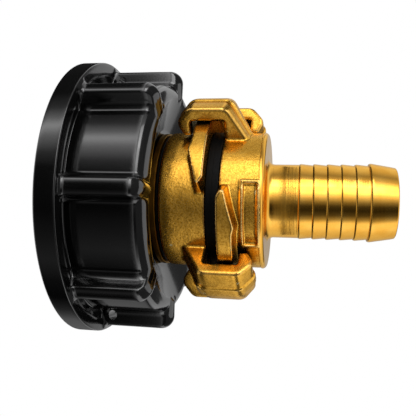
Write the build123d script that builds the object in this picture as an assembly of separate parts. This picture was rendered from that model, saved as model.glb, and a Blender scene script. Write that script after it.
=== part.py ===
from build123d import *
import math
import os

# Tank adapter: a ribbed plastic union nut that screws on a tank's outlet thread, and a brass claw coupling in
# two alike halves, the outer one ending in a barbed hose tail.
# The fitting lies along X. X = 0 is the mouth of the nut, which faces the tank, and +X runs to the hose.
# Lengths are millimetres. Clock angles are degrees seen from the hose end: 0 is the -Y side, 90 is the top.

# Turns
FULL_TURN = 360
HALF_TURN = 180

# Union nut: flange, threaded bore and front wall
NUT_THREAD_RADIUS = 30.2
NUT_THREAD_DEPTH = 12.2
NUT_SIDE_WALL = 3.4
NUT_FLANGE_WIDTH = 6.4
NUT_FLANGE_THICKNESS = 5.8
NUT_LIP_WIDTH = 3.6
NUT_LIP_STEP = 0.9
NUT_CHAMBER_CLEARANCE = 0.4
NUT_WALL = 4.0
NUT_NECK_CLEARANCE = 0.4
NUT_SEAT_WIDTH = 3.5
NUT_BEAD_ROUND = 3.4
NUT_BEAD_CREST = 0.7
NUT_BEAD_FLAT = 0.3
NUT_DISH_ROUND = 1.5
NUT_EDGE_ROUND = 0.7
NUT_THREAD_RUNOUT = 0.8

# Union nut: grip ribs, each with a hole for a sealing wire
RIB_COUNT = 8
RIB_HEIGHT = 5.0
RIB_CREST_WIDTH = 4.1
RIB_FOOT_WIDTH = 5.2
RIB_PROUD = 0.5
RIB_END_ROUND = 3.7
RIB_EDGE_ROUND = 0.9
RIB_FOOT_SINK = 2.2
WIRE_HOLE_LENGTH = 2.5
WIRE_HOLE_HEIGHT = 3.2
WIRE_HOLE_OFFSET = 1.6

# Spigot that carries the nut: collar, pipe thread and water way
SWIVEL_GAP = 0.3
COLLAR_THICKNESS = 2.7
COLLAR_INSET = 3.6
COLLAR_EDGE = 0.4
WATER_RADIUS = 12.2
PIPE_WALL = 4.4
PIPE_CHAMFER = 0.9
PIPE_CLEARANCE = 0.05

# Flat tank gasket, round locking ring and thin neck gasket
TANK_GASKET_INSET = 0.4
TANK_GASKET_THICKNESS = 3.2
TANK_GASKET_CLEARANCE = 0.2
LOCK_RING_WIDTH = 2.8
LOCK_RING_THICKNESS = 2.3
LOCK_RING_EDGE = 0.3
NECK_GASKET_WIDTH = 2.5
NECK_GASKET_THICKNESS = 1.1

# Coupling heads and the rubber rings between them
HEAD_WALL = 2.9
TANK_HEAD_LENGTH = 12.0
TANK_HEAD_BACK_ROUND = 1.0
CAST_HEAD_LENGTH = 11.05
SOCKET_WEB = 0.55
SEAL_PROUD = 0.25
SEAL_RIM = 1.73
SEAL_RIM_ROUND = 0.25
SEAL_GAP = 0.04
SEAL_ROOT_WIDTH = 3.3
SEAL_ROOT_DEPTH = 3.7
SEAL_CLEARANCE = 0.05
SEAL_LIP = 0.7
COUPLING_CLOCK_ANGLE = 4.2

# Claws: two on each head, reaching over the other head
CLAW_COUNT = 2
CLAW_START_ANGLE = 94.0
CLAW_SPAN_ANGLE = 36.5
CLAW_THICKNESS = 4.0
CLAW_ROOT_LENGTH = 6.8
CLAW_BACK_LENGTH = 1.2
CLAW_SINK = 1.4
NOTCH_HEIGHT = 5.5
NOTCH_LENGTH = 8.85
HOOK_THICKNESS = 3.9
HOOK_TIP_THICKNESS = 2.4
HOOK_CLEARANCE = 1.2
HOOK_NOSE_HEIGHT = 4.6
HOOK_FLANK_HEIGHT = 2.8
CLAW_BACK_ROUND = 3.0
CLAW_NOSE_ROUND = 1.6
CLAW_TIP_ROUND = 0.8
CLAW_NOTCH_ROUND = 0.5
CLAW_EDGE_ROUND = 0.9
CLAW_BAND_ANGLE = 9.0
CLAW_BAND_HEIGHT = 0.55

# Lugs: two on each head, a ramp, a peak and a land that the other head's hooks lie behind
LUG_CLEARANCE = 0.5
LUG_START_ANGLE = 2.6
LUG_PEAK_ANGLE = 25.5
LUG_LAND_ANGLE = 31.0
LUG_JOIN_ANGLE = 34.0
LUG_TIP_THICKNESS = 2.0
LUG_TIP_CHAMFER = 1.1
LUG_TIP_LENGTH = 1.7
LUG_OVERLAP_ANGLE = 1.7
LUG_PEAK_HEIGHT = 4.7
LUG_LAND_HEIGHT = 4.1
LUG_DRAFT_ANGLE = 5.5

# Bare plaque cast in the hose half
PLAQUE_LENGTH = 5.0
PLAQUE_FROM_SHOULDER = 0.2
PLAQUE_START_ANGLE = -43.5
PLAQUE_END_ANGLE = 11.5
PLAQUE_RIM = 0.7
PLAQUE_RIM_ANGLE = 2.1
PLAQUE_RIM_HEIGHT = 0.4
PLAQUE_DEPTH = 0.5

# Hose half: turned shoulder, neck, barbs and inner bore
SHOULDER_LENGTH = 2.45
SHOULDER_PROUD = 0.2
SHOULDER_ROUND = 1.6
NECK_RADIUS = 10.6
NECK_FILLET = 3.0
NECK_LENGTH = 7.15
BARB_COUNT = 5
BARB_PITCH = 3.83
BARB_PROUD = 0.2
BARB_DEPTH = 0.45
END_BARB_PROUD = 0.5
END_BARB_LAND = 0.5
END_BARB_LENGTH = 7.4
TAIL_TAPER = 0.65
TAIL_END_ROUND = 0.5
TAIL_WALL = 2.2
TAIL_MOUTH_CHAMFER = 0.5
FUNNEL_START = 2.4
FUNNEL_LENGTH = 7.0

# One overrun for every cut
OVERRUN = 2.0

# Radii, each from the one inside it
NUT_BODY_RADIUS = NUT_THREAD_RADIUS + NUT_SIDE_WALL
NUT_FLANGE_RADIUS = NUT_BODY_RADIUS + NUT_FLANGE_WIDTH
NUT_BEAD_RADIUS = NUT_BODY_RADIUS - NUT_BEAD_ROUND - NUT_BEAD_CREST
RIB_RADIUS = NUT_BODY_RADIUS + RIB_HEIGHT
COLLAR_RADIUS = NUT_THREAD_RADIUS - COLLAR_INSET
TANK_GASKET_RADIUS = COLLAR_RADIUS - TANK_GASKET_INSET
PIPE_RADIUS = WATER_RADIUS + PIPE_WALL
LOCK_RING_RADIUS = PIPE_RADIUS + LOCK_RING_WIDTH
NECK_GASKET_RADIUS = PIPE_RADIUS + NECK_GASKET_WIDTH
HEAD_RADIUS = PIPE_RADIUS + HEAD_WALL
SEAL_RADIUS = HEAD_RADIUS + SEAL_PROUD
SHOULDER_RADIUS = HEAD_RADIUS + SHOULDER_PROUD
SEAL_ROOT_RADIUS = WATER_RADIUS + SEAL_ROOT_WIDTH
NOTCH_RADIUS = HEAD_RADIUS + NOTCH_HEIGHT
CLAW_RADIUS = NOTCH_RADIUS + CLAW_THICKNESS
LUG_RADIUS = NOTCH_RADIUS - LUG_CLEARANCE
BARB_RADIUS = NECK_RADIUS + BARB_PROUD
BARB_VALLEY_RADIUS = BARB_RADIUS - BARB_DEPTH
END_BARB_RADIUS = NECK_RADIUS + END_BARB_PROUD
TAIL_END_RADIUS = NECK_RADIUS - TAIL_TAPER
TAIL_BORE_RADIUS = NECK_RADIUS - TAIL_WALL

# Places along X, each from the piece before it
NUT_CHAMBER_DEPTH = TANK_GASKET_CLEARANCE + TANK_GASKET_THICKNESS + COLLAR_THICKNESS + SWIVEL_GAP
NUT_BEAD_HEIGHT = NUT_BEAD_ROUND + NUT_BEAD_FLAT
PIPE_ENGAGEMENT = TANK_HEAD_LENGTH - SEAL_ROOT_DEPTH - SOCKET_WEB - SWIVEL_GAP
NUT_DEPTH = NUT_THREAD_DEPTH + NUT_CHAMBER_DEPTH
NUT_FRONT = NUT_DEPTH + NUT_WALL
COLLAR_FRONT = NUT_DEPTH - SWIVEL_GAP
COLLAR_BACK = COLLAR_FRONT - COLLAR_THICKNESS
TANK_GASKET_BACK = COLLAR_BACK - TANK_GASKET_THICKNESS
LOCK_RING_BACK = NUT_FRONT + SWIVEL_GAP
NECK_GASKET_BACK = LOCK_RING_BACK + LOCK_RING_THICKNESS
TANK_HEAD_BACK = NECK_GASKET_BACK + NECK_GASKET_THICKNESS
TANK_FACE = TANK_HEAD_BACK + TANK_HEAD_LENGTH
HALF_GAP = SEAL_RIM + SEAL_GAP / 2
MIDDLE = TANK_FACE + HALF_GAP
HOSE_FACE = MIDDLE + HALF_GAP
SHOULDER_BACK = HOSE_FACE + CAST_HEAD_LENGTH
SHOULDER_FRONT = SHOULDER_BACK + SHOULDER_LENGTH
FIRST_BARB = SHOULDER_FRONT + NECK_LENGTH
END_BARB = FIRST_BARB + BARB_COUNT * BARB_PITCH
TAIL_END = END_BARB + END_BARB_LENGTH
NUT_HOLE_RADIUS = PIPE_RADIUS + NUT_NECK_CLEARANCE
NUT_CHAMBER_RADIUS = COLLAR_RADIUS + NUT_CHAMBER_CLEARANCE
PIPE_BORE_RADIUS = PIPE_RADIUS + PIPE_CLEARANCE
PIPE_END = TANK_HEAD_BACK + PIPE_ENGAGEMENT


def outline(points):
    """A closed face from points (x, radius), each with an optional corner radius as its third value."""
    corners = [(x, radius) for x, radius, *_ in points]
    face = make_face(Polyline(*corners, close=True))
    rounds = {}
    for x, radius, *corner in points:
        if corner:
            rounds.setdefault(corner[0], []).append((x, radius))
    for size, places in rounds.items():
        for place in places:
            vertex = face.vertices().sort_by_distance((*place, 0))[0]
            face = fillet(vertex, size)
    return face


def turned(points):
    """A full turn of an outline about X."""
    return revolve(outline(points), Axis.X)


def sector(points, start, end):
    """A turn of an outline about X from one clock angle to another."""
    return Rot(X=HALF_TURN - end) * revolve(outline(points), Axis.X, end - start)


def at_clock(shape, angle):
    """A shape drawn at the +Y side, turned to a clock angle."""
    return Rot(X=HALF_TURN - angle) * shape


def nut_shell():
    """Flange, body, front bead, thread bore and collar chamber of the union nut."""
    lip_inner = NUT_FLANGE_RADIUS - NUT_LIP_WIDTH
    step_x = NUT_FLANGE_THICKNESS - NUT_LIP_STEP
    bead_x = NUT_FRONT + NUT_BEAD_HEIGHT
    seat_radius = NUT_HOLE_RADIUS + NUT_SEAT_WIDTH
    return turned([
        (0, NUT_THREAD_RADIUS),
        (0, NUT_FLANGE_RADIUS, NUT_EDGE_ROUND),
        (NUT_FLANGE_THICKNESS, NUT_FLANGE_RADIUS, NUT_EDGE_ROUND),
        (NUT_FLANGE_THICKNESS, lip_inner),
        (step_x, lip_inner - NUT_LIP_STEP / 2),
        (step_x, NUT_BODY_RADIUS),
        (bead_x, NUT_BODY_RADIUS, NUT_BEAD_ROUND),
        (bead_x, NUT_BEAD_RADIUS, NUT_DISH_ROUND),
        (NUT_FRONT, seat_radius, NUT_EDGE_ROUND),
        (NUT_FRONT, NUT_HOLE_RADIUS),
        (NUT_DEPTH, NUT_HOLE_RADIUS),
        (NUT_DEPTH, NUT_CHAMBER_RADIUS),
        (NUT_THREAD_DEPTH + NUT_THREAD_RUNOUT, NUT_CHAMBER_RADIUS),
        (NUT_THREAD_DEPTH, NUT_CHAMBER_RADIUS + NUT_THREAD_RUNOUT),
        (NUT_THREAD_DEPTH, NUT_THREAD_RADIUS),
    ])


def nut_rib():
    """One grip rib at the +Y side with drafted flanks and a rounded front corner, and its wire hole."""
    foot = NUT_BODY_RADIUS - RIB_FOOT_SINK
    back = NUT_FLANGE_THICKNESS / 2
    front = NUT_FRONT + NUT_BEAD_HEIGHT + RIB_PROUD
    side = outline([
        (back, foot), (back, RIB_RADIUS), (front, RIB_RADIUS, RIB_END_ROUND),
        (front, NUT_BEAD_RADIUS), (NUT_FRONT, NUT_BEAD_RADIUS), (NUT_DEPTH, foot),
    ])
    block = extrude(side, RIB_FOOT_WIDTH, both=True)
    draft = (RIB_FOOT_WIDTH - RIB_CREST_WIDTH) / (RIB_RADIUS - NUT_BODY_RADIUS) / 2
    foot_half = RIB_FOOT_WIDTH / 2 + draft * (NUT_BODY_RADIUS - NUT_BEAD_RADIUS)
    crest_half = RIB_CREST_WIDTH / 2
    section = Plane.YZ * make_face(Polyline(
        (NUT_BEAD_RADIUS, -foot_half), (RIB_RADIUS, -crest_half),
        (RIB_RADIUS, crest_half), (NUT_BEAD_RADIUS, foot_half), close=True,
    ))
    rib = block & extrude(section, front + OVERRUN)
    rim = [edge for edge in rib.edges()
           if edge.center().Y > foot + RIB_EDGE_ROUND
           and edge.center().X > back + RIB_EDGE_ROUND
           and abs(edge.center().Z) > crest_half - RIB_EDGE_ROUND]
    rib = fillet(rim, RIB_EDGE_ROUND)
    hole_x = NUT_FLANGE_THICKNESS + WIRE_HOLE_OFFSET + WIRE_HOLE_LENGTH / 2
    hole_radius = NUT_BODY_RADIUS + WIRE_HOLE_HEIGHT / 2
    hole = Pos(hole_x, hole_radius, 0) * Box(WIRE_HOLE_LENGTH, WIRE_HOLE_HEIGHT, RIB_FOOT_WIDTH + OVERRUN)
    return rib - hole


def union_nut():
    """The ribbed plastic nut, turning freely on the spigot's collar."""
    shell = nut_shell()
    rib = nut_rib()
    step = FULL_TURN / RIB_COUNT
    for index in range(RIB_COUNT):
        shell += at_clock(rib, index * step)
    return shell


def tank_gasket():
    """Flat rubber ring between the tank's rim and the spigot's collar."""
    return turned([
        (TANK_GASKET_BACK, WATER_RADIUS), (TANK_GASKET_BACK, TANK_GASKET_RADIUS),
        (COLLAR_BACK, TANK_GASKET_RADIUS), (COLLAR_BACK, WATER_RADIUS),
    ])


def spigot():
    """Collar inside the nut and the pipe-threaded shank that runs out through its front wall."""
    return turned([
        (COLLAR_BACK, WATER_RADIUS), (COLLAR_BACK, COLLAR_RADIUS, COLLAR_EDGE),
        (COLLAR_FRONT, COLLAR_RADIUS, COLLAR_EDGE), (COLLAR_FRONT, PIPE_RADIUS),
        (PIPE_END - PIPE_CHAMFER, PIPE_RADIUS), (PIPE_END, PIPE_RADIUS - PIPE_CHAMFER),
        (PIPE_END, WATER_RADIUS),
    ])


def lock_ring():
    """Round brass ring on the shank that sets the nut's running gap."""
    front = LOCK_RING_BACK + LOCK_RING_THICKNESS
    return turned([
        (LOCK_RING_BACK, PIPE_BORE_RADIUS), (LOCK_RING_BACK, LOCK_RING_RADIUS, LOCK_RING_EDGE),
        (front, LOCK_RING_RADIUS, LOCK_RING_EDGE), (front, PIPE_BORE_RADIUS),
    ])


def neck_gasket():
    """Thin rubber ring between the locking ring and the tank half."""
    return turned([
        (NECK_GASKET_BACK, PIPE_BORE_RADIUS), (NECK_GASKET_BACK, NECK_GASKET_RADIUS),
        (TANK_HEAD_BACK, NECK_GASKET_RADIUS), (TANK_HEAD_BACK, PIPE_BORE_RADIUS),
    ])


def claw_profile(grow):
    """Side view of a claw, x from the head's own face towards the other head; grow thickens its back."""
    hook_end = NOTCH_LENGTH + HOOK_THICKNESS + grow
    tip_radius = HEAD_RADIUS + HOOK_CLEARANCE
    back_radius = CLAW_RADIUS + grow
    nose_radius = tip_radius + HOOK_NOSE_HEIGHT
    flank_radius = tip_radius + HOOK_FLANK_HEIGHT
    slope = (back_radius - nose_radius) * (HOOK_THICKNESS / HOOK_NOSE_HEIGHT)
    foot_radius = HEAD_RADIUS - CLAW_SINK
    return [
        (-CLAW_ROOT_LENGTH - grow, foot_radius),
        (-CLAW_ROOT_LENGTH - grow, HEAD_RADIUS),
        (-CLAW_BACK_LENGTH - grow, back_radius, CLAW_BACK_ROUND),
        (hook_end - slope, back_radius, CLAW_BACK_ROUND),
        (hook_end, nose_radius, CLAW_NOSE_ROUND),
        (hook_end, flank_radius, CLAW_TIP_ROUND),
        (NOTCH_LENGTH + HOOK_TIP_THICKNESS, tip_radius, CLAW_TIP_ROUND),
        (NOTCH_LENGTH, tip_radius, CLAW_TIP_ROUND),
        (NOTCH_LENGTH, NOTCH_RADIUS, CLAW_NOTCH_ROUND),
        (0, NOTCH_RADIUS, CLAW_NOTCH_ROUND),
        (0, foot_radius),
    ]


def claw():
    """One claw at its clock place, with the raised band that runs along the middle of its back."""
    body = sector(claw_profile(0), CLAW_START_ANGLE, CLAW_START_ANGLE + CLAW_SPAN_ANGLE)
    sides = body.faces().filter_by(GeomType.PLANE).sort_by(SortBy.AREA)[-2:]
    edges = [edge for side in sides for edge in side.edges()
             if not on_foot(edge)]
    body = fillet(edges, CLAW_EDGE_ROUND)
    middle = CLAW_START_ANGLE + CLAW_SPAN_ANGLE / 2
    band = sector(claw_profile(CLAW_BAND_HEIGHT), middle - CLAW_BAND_ANGLE / 2, middle + CLAW_BAND_ANGLE / 2)
    return body + band


def on_foot(edge):
    """True for a side edge that lies sunk in the head."""
    centre = edge.center()
    return math.hypot(centre.Y, centre.Z) < HEAD_RADIUS - CLAW_SINK / 4 or centre.X == 0


def lug():
    """One lug from its thin ramp end to the claw that it runs into."""
    centre = (LUG_START_ANGLE + LUG_JOIN_ANGLE) / 2
    across = lambda angle: LUG_RADIUS * math.sin(math.radians(angle - centre))
    foot_radius = HEAD_RADIUS - CLAW_SINK
    height = LUG_RADIUS - foot_radius * math.cos(math.radians(centre - LUG_START_ANGLE))
    top = make_face(Polyline(
        (OVERRUN, across(LUG_START_ANGLE) + LUG_TIP_LENGTH),
        (0, across(LUG_START_ANGLE) + LUG_TIP_LENGTH),
        (-LUG_TIP_CHAMFER, across(LUG_START_ANGLE)),
        (-LUG_TIP_THICKNESS, across(LUG_START_ANGLE)),
        (-LUG_PEAK_HEIGHT, across(LUG_PEAK_ANGLE)),
        (-LUG_LAND_HEIGHT, across(LUG_LAND_ANGLE)),
        (-LUG_LAND_HEIGHT, across(LUG_JOIN_ANGLE)),
        (OVERRUN, across(LUG_JOIN_ANGLE)), close=True,
    ))
    # Drawn flat, x along the fitting and y with the clock angle, and set outermost at the +Y side
    flat = Plane(origin=(0, LUG_RADIUS, 0), x_dir=(1, 0, 0), z_dir=(0, 1, 0))
    block = extrude(flat * top, -height, taper=-LUG_DRAFT_ANGLE)
    ring = turned([(0, foot_radius), (0, LUG_RADIUS), (-CLAW_ROOT_LENGTH, LUG_RADIUS),
                   (-CLAW_ROOT_LENGTH, foot_radius)])
    ramp = at_clock(block & ring, centre)
    foot_x = LUG_LAND_HEIGHT + (LUG_RADIUS - foot_radius) * math.tan(math.radians(LUG_DRAFT_ANGLE))
    land = sector([(0, foot_radius), (0, LUG_RADIUS), (-LUG_LAND_HEIGHT, LUG_RADIUS), (-foot_x, foot_radius)],
                  LUG_JOIN_ANGLE - LUG_OVERLAP_ANGLE, CLAW_START_ANGLE + LUG_OVERLAP_ANGLE)
    return ramp + land


def claw_set():
    """Both claws and both lugs of a head, x from the head's own face towards the other head."""
    one = claw() + lug()
    step = FULL_TURN / CLAW_COUNT
    whole = one
    for index in range(1, CLAW_COUNT):
        whole += Rot(X=index * step) * one
    return whole


def placed(shape):
    """A shape drawn from the tank half's face, set on the tank half."""
    return Rot(X=-COUPLING_CLOCK_ANGLE) * Pos(TANK_FACE, 0, 0) * shape


def mirrored(shape):
    """The same shape turned end for end about the middle plane, set on the hose half."""
    turned_over = Pos(MIDDLE, 0, 0) * Rot(Y=HALF_TURN) * Pos(-MIDDLE, 0, 0)
    return Rot(X=-COUPLING_CLOCK_ANGLE) * turned_over * Pos(TANK_FACE, 0, 0) * shape


def tank_half():
    """Claw head that screws on the spigot's shank."""
    seat_x = TANK_FACE - SEAL_ROOT_DEPTH
    stop_x = PIPE_END + SWIVEL_GAP
    head = turned([
        (TANK_HEAD_BACK, PIPE_BORE_RADIUS),
        (TANK_HEAD_BACK, HEAD_RADIUS, TANK_HEAD_BACK_ROUND),
        (TANK_FACE, HEAD_RADIUS), (TANK_FACE, SEAL_ROOT_RADIUS),
        (seat_x, SEAL_ROOT_RADIUS), (seat_x, WATER_RADIUS),
        (stop_x, WATER_RADIUS), (stop_x, PIPE_BORE_RADIUS),
    ])
    return head + placed(claw_set())


def hose_head():
    """Turned body of the hose half: head, shoulder, neck, barbs and water way."""
    seat_x = HOSE_FACE + SEAL_ROOT_DEPTH
    funnel_x = seat_x + FUNNEL_START
    points = [
        (HOSE_FACE, SEAL_ROOT_RADIUS), (HOSE_FACE, HEAD_RADIUS),
        (SHOULDER_BACK, HEAD_RADIUS), (SHOULDER_BACK, SHOULDER_RADIUS),
        (SHOULDER_FRONT, SHOULDER_RADIUS, SHOULDER_ROUND),
        (SHOULDER_FRONT, NECK_RADIUS, NECK_FILLET),
    ]
    valley = NECK_RADIUS
    for index in range(BARB_COUNT):
        x = FIRST_BARB + index * BARB_PITCH
        points += [(x, valley), (x, BARB_RADIUS)]
        valley = BARB_VALLEY_RADIUS
    points += [
        (END_BARB, valley), (END_BARB, END_BARB_RADIUS),
        (END_BARB + END_BARB_LAND, END_BARB_RADIUS),
        (TAIL_END, TAIL_END_RADIUS, TAIL_END_ROUND),
        (TAIL_END, TAIL_BORE_RADIUS + TAIL_MOUTH_CHAMFER),
        (TAIL_END - TAIL_MOUTH_CHAMFER, TAIL_BORE_RADIUS),
        (funnel_x + FUNNEL_LENGTH, TAIL_BORE_RADIUS), (funnel_x, WATER_RADIUS),
        (seat_x, WATER_RADIUS), (seat_x, SEAL_ROOT_RADIUS),
    ]
    return turned(points)


def plaque():
    """The raised rim and the sunk field of the bare plaque, as a solid to add and one to cut."""
    front = SHOULDER_BACK - PLAQUE_FROM_SHOULDER
    back = front - PLAQUE_LENGTH
    foot = HEAD_RADIUS - PLAQUE_DEPTH
    rim_radius = HEAD_RADIUS + PLAQUE_RIM_HEIGHT
    rim = sector([(back, foot), (back, rim_radius), (front, rim_radius), (front, foot)],
                 PLAQUE_START_ANGLE, PLAQUE_END_ANGLE)
    field = sector([(back + PLAQUE_RIM, foot), (back + PLAQUE_RIM, rim_radius + OVERRUN),
                    (front - PLAQUE_RIM, rim_radius + OVERRUN), (front - PLAQUE_RIM, foot)],
                   PLAQUE_START_ANGLE + PLAQUE_RIM_ANGLE, PLAQUE_END_ANGLE - PLAQUE_RIM_ANGLE)
    return rim, field


def hose_half():
    """Claw head with the barbed hose tail, cast in one piece and turned from the shoulder on."""
    rim, field = plaque()
    return hose_head() + mirrored(claw_set()) + rim - field


def head_seal():
    """Rubber ring of a head, x from the head's own face: a root in the seat and a rim between the heads."""
    root_radius = SEAL_ROOT_RADIUS - SEAL_CLEARANCE
    root_end = SEAL_CLEARANCE - SEAL_ROOT_DEPTH
    lip_radius = WATER_RADIUS + SEAL_LIP
    return turned([
        (root_end, WATER_RADIUS), (root_end, root_radius),
        (SEAL_CLEARANCE, root_radius), (SEAL_CLEARANCE, SEAL_RADIUS, SEAL_RIM_ROUND),
        (SEAL_RIM, SEAL_RADIUS, SEAL_RIM_ROUND), (SEAL_RIM, lip_radius),
        (SEAL_RIM - SEAL_LIP, WATER_RADIUS),
    ])


nodes = {
    "union_nut": union_nut(),
    "tank_gasket": tank_gasket(),
    "spigot": spigot(),
    "lock_ring": lock_ring(),
    "neck_gasket": neck_gasket(),
    "tank_half": tank_half(),
    "tank_half_seal": placed(head_seal()),
    "hose_half": hose_half(),
    "hose_half_seal": mirrored(head_seal()),
}

os.makedirs("parts", exist_ok=True)
for name, shape in nodes.items():
    export_step(shape, os.path.join("parts", name + ".step"))
    print(name, "solids", len(shape.solids()), "volume", round(shape.volume))
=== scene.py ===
# %% [markdown]
# # A tank adapter with a claw coupling
#
# A ribbed black plastic nut screws on the outlet of a liquid tank. In front of it sits a quick coupling: two
# alike brass heads that hook into each other with a quarter turn, the outer one ending in a barbed hose tail.
#
# The exact solids come first, as the fixed frame. This file gives them their looks: finishes, the soft edges
# of a forging, and what a plain solid lacks. Lengths below are in metres, and MM turns millimetres into them.

# %% Load the solids
import math

import bmesh
import bpy
from mathutils import Matrix, Vector


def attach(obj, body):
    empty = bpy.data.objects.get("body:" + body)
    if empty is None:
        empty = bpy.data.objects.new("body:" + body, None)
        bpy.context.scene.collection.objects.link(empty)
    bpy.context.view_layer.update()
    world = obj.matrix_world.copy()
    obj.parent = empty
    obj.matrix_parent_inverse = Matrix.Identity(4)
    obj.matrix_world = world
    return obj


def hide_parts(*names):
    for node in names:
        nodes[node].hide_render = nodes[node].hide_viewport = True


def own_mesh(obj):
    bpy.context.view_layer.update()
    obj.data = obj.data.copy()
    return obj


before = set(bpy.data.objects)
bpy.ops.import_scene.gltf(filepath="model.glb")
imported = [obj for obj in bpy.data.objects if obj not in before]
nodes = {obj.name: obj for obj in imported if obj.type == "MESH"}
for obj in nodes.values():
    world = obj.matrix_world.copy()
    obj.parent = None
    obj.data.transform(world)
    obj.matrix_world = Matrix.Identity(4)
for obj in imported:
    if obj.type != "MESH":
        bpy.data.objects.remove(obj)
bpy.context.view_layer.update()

MM = 0.001
scene = bpy.context.scene
print("solids:", ", ".join(sorted(nodes)))

# %% [markdown]
# ## Colours and nodes
#
# A picture's colours are sRGB, written as hex. A shader works on linear light, so one function turns them.
# A material is a small graph. It could be wired by hand in the shader editor; here one function adds a node,
# sets it and links it, so that each finish below reads as a short list.

# %% Helpers for every material
def linear(hex_colour):
    """The linear colour, with alpha, of an sRGB hex value."""
    parts = [int(hex_colour[place:place + 2], 16) / 255 for place in (1, 3, 5)]
    return [part / 12.92 if part <= 0.04045 else ((part + 0.055) / 1.055) ** 2.4 for part in parts] + [1.0]


def grey(brightness):
    """A grey of linear light, with alpha."""
    return [brightness, brightness, brightness, 1.0]


def add(tree, kind, inputs=None, **settings):
    """Adds a node. Settings go on the node, and inputs get a value or another node's output."""
    node = tree.nodes.new(kind)
    for name, value in settings.items():
        setattr(node, name, value)
    for name, value in (inputs or {}).items():
        if isinstance(value, bpy.types.NodeSocket):
            tree.links.new(value, node.inputs[name])
        else:
            node.inputs[name].default_value = value
    return node


# A Mix node repeats its socket names for every kind of data, so its sockets for colours go by number
SHARE, FIRST, SECOND, MIXED = 0, 6, 7, 2


def finish_of(name, **sockets):
    """A new material with its main shader, whose plain sockets are set directly."""
    material = bpy.data.materials.new(name)
    material.use_nodes = True
    tree = material.node_tree
    tree.nodes.clear()
    shader = add(tree, "ShaderNodeBsdfPrincipled")
    for socket, value in sockets.items():
        shader.inputs[socket.replace("_", " ")].default_value = value
    add(tree, "ShaderNodeOutputMaterial", {"Surface": shader.outputs["BSDF"]})
    return material, tree, shader


print("a middle grey, #808080, is %.3f in linear light" % linear("#808080")[0])

# %% [markdown]
# ## Moulded black polypropylene
#
# The nut is injection moulded. Polypropylene has an IOR of about 1.49, and a polished mould leaves it glossy
# with a faint grain: near black where nothing shines on it, with clear highlights whose edges are a little
# soft. A flat black would look like a hole in the picture, so the roughness wanders a little, as it does where
# the melt cooled unevenly.

# %% Black polypropylene
def black_polypropylene():
    material, tree, shader = finish_of("black_polypropylene_moulded", IOR=1.49, Specular_IOR_Level=1.0)
    where = add(tree, "ShaderNodeTexCoord").outputs["Object"]
    # Flow marks are some 9 mm across, and the skin's grain is drawn at 0.5 mm, coarser than real, to show
    flow = add(tree, "ShaderNodeTexNoise", {"Vector": where, "Scale": 1 / (9 * MM), "Detail": 3.0})
    grain = add(tree, "ShaderNodeTexNoise", {"Vector": where, "Scale": 1 / (0.5 * MM), "Detail": 2.0})
    colour = add(tree, "ShaderNodeValToRGB", {"Fac": flow.outputs["Fac"]})
    colour.color_ramp.elements[0].color = linear("#030303")
    colour.color_ramp.elements[1].color = linear("#080808")
    rough = add(tree, "ShaderNodeMapRange", {"Value": flow.outputs["Fac"], "To Min": 0.09, "To Max": 0.15})
    bump = add(tree, "ShaderNodeBump", {"Height": grain.outputs["Fac"], "Strength": 0.25, "Distance": 0.02 * MM})
    tree.links.new(colour.outputs["Color"], shader.inputs["Base Color"])
    tree.links.new(rough.outputs["Result"], shader.inputs["Roughness"])
    tree.links.new(bump.outputs["Normal"], shader.inputs["Normal"])
    return material


plastic = black_polypropylene()
print(plastic.name, "has", len(plastic.node_tree.nodes), "nodes")

# %% [markdown]
# ## Brass, forged and blasted
#
# The coupling heads are hot-forged brass, blasted with fine grit and then tumbled. Brass is a metal, so its
# colour is the colour of its reflections and it keeps the default IOR. The grit leaves a pitted skin that
# spreads each highlight and sparkles, and the forging itself is never quite flat.

# %% Forged brass
# The colour that brass reflects at a glancing angle
BRASS_GLANCE = "#FBF0D0"


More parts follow.
